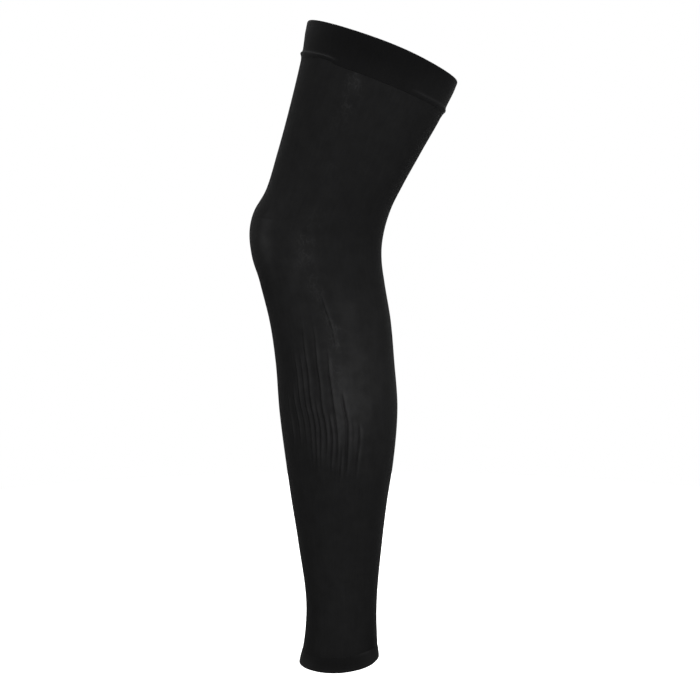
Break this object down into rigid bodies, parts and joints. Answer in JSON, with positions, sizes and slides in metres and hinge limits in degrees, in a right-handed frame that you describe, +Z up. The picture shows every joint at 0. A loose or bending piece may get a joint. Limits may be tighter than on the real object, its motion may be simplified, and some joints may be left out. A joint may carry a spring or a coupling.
{
  "type": "compression leg sleeve",
  "caption": "Full-length knitted compression leg sleeve in its worn, slightly bent shape: an open tube from thigh to ankle with a doubled thigh band and a turned ankle hem.",
  "frame": {"origin": "centre of the thigh band, where the sleeve grips the leg", "axes": "+Z up the standing leg, -Y to the front of the leg (the kneecap side), +X to the side of the calf that carries the folds"},
  "size_m": [0.1591, 0.2135, 0.6772],
  "materials": {
    "band_knit": "matte black, smooth dense rib knit",
    "sleeve_knit": "matte black, fine stretch knit",
    "hem_knit": "matte black, turned knit edge"
  },
  "bodies": {
    "root": {"thigh_band": "band_knit", "sleeve_body": "sleeve_knit", "ankle_hem": "hem_knit"}
  },
  "joints": []
}
